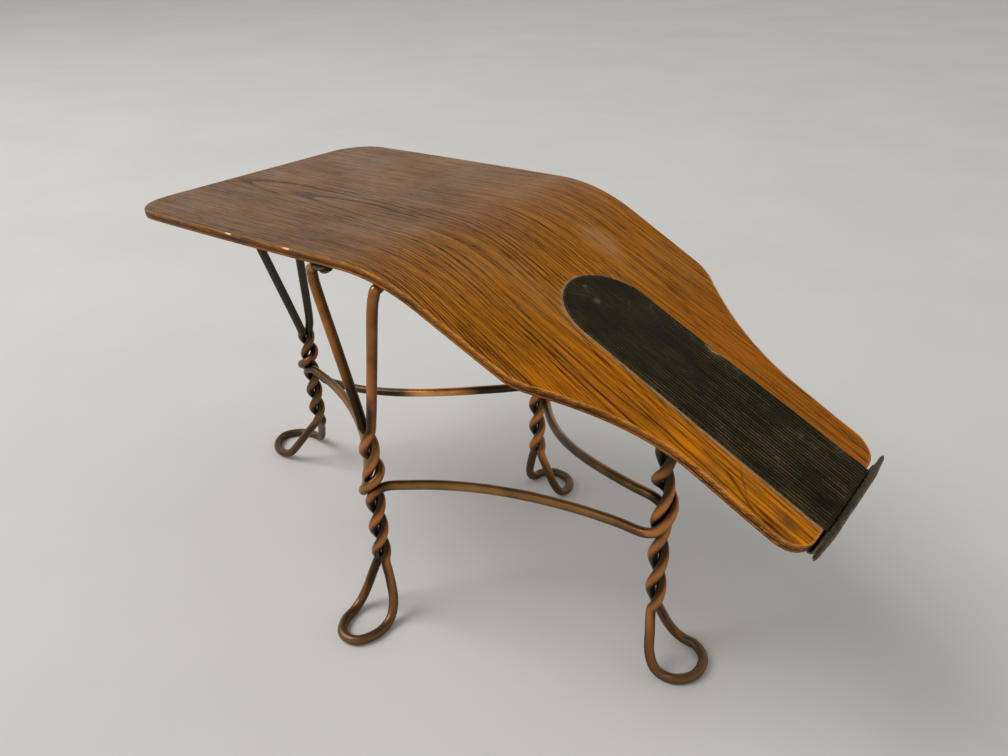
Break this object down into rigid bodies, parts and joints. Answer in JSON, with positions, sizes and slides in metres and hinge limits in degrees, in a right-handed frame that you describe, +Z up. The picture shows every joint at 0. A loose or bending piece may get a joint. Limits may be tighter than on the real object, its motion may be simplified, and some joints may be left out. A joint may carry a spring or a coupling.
{
  "type": "shoe fitting stool",
  "caption": "Low stool with a bent plywood board: level seat at one end, sloping foot ramp with rubber tread and heel plate at the other, on twisted wire legs.",
  "frame": {"origin": "middle of the bounding box, on the floor", "axes": "+X from the seat to the low end of the ramp, +Y across the board, +Z up"},
  "size_m": [0.744, 0.3556, 0.3864],
  "materials": {
    "oak_top": "varnished golden oak, worn satin",
    "oak_core": "dark ply edge",
    "oak_under": "stained oak, matt",
    "rubber": "ribbed, worn matt",
    "heel_steel": "dark aged sheet steel",
    "heel_screw": "dark aged steel",
    "copper_wire": "copper-plated steel wire, aged brown",
    "strut_screw": "aged plated steel"
  },
  "bodies": {
    "root": {"top_veneer": "oak_top", "core_ply": "oak_core", "under_veneer": "oak_under", "rubber_tread": "rubber", "heel_plate": "heel_steel", "heel_screw_near": "heel_screw", "heel_screw_far": "heel_screw", "near_leg_wire": "copper_wire", "low_leg_wire": "copper_wire", "far_leg_wire": "copper_wire", "high_leg_wire": "copper_wire", "near_own_screw": "strut_screw", "near_guest_screw": "strut_screw", "low_own_screw": "strut_screw", "low_guest_screw": "strut_screw", "far_own_screw": "strut_screw", "far_guest_screw": "strut_screw", "high_own_screw": "strut_screw", "high_guest_screw": "strut_screw"}
  },
  "joints": []
}
